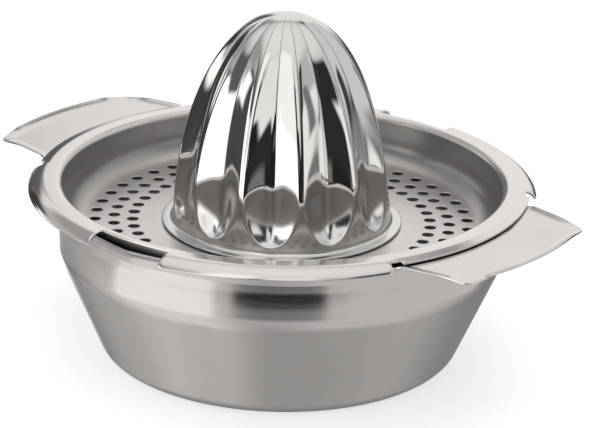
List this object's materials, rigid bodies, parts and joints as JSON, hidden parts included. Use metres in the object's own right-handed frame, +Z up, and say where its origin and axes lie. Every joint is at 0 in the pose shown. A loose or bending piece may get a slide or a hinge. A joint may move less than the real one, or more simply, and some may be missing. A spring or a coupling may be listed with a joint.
{
  "type": "hand citrus juicer",
  "caption": "Stainless steel hand citrus juicer: a pouring bowl with two tab handles, a lift-out strainer dish with pierced floor, and a fluted reamer cone in its middle.",
  "frame": {"origin": "middle of the bowl's flat base, on the surface that it stands on", "axes": "+Z up along the cone, handles at both ends of X, pouring notches and lips at both ends of Y"},
  "size_m": [0.1794, 0.1446, 0.101],
  "materials": {
    "satin_bowl": "satin stainless steel, fine turned grain",
    "satin_strainer": "satin stainless steel, brighter on the flange",
    "mirror_cone": "mirror-polished stainless steel"
  },
  "bodies": {
    "bowl": {"bowl": "satin_bowl"},
    "strainer": {"strainer": "satin_strainer", "reamer_cone": "mirror_cone"}
  },
  "joints": [
    {"name": "strainer_lift", "type": "slide", "parent": "bowl", "child": "strainer", "axis": [0, 0, 1], "range_m": [0, 0.06]}
  ]
}
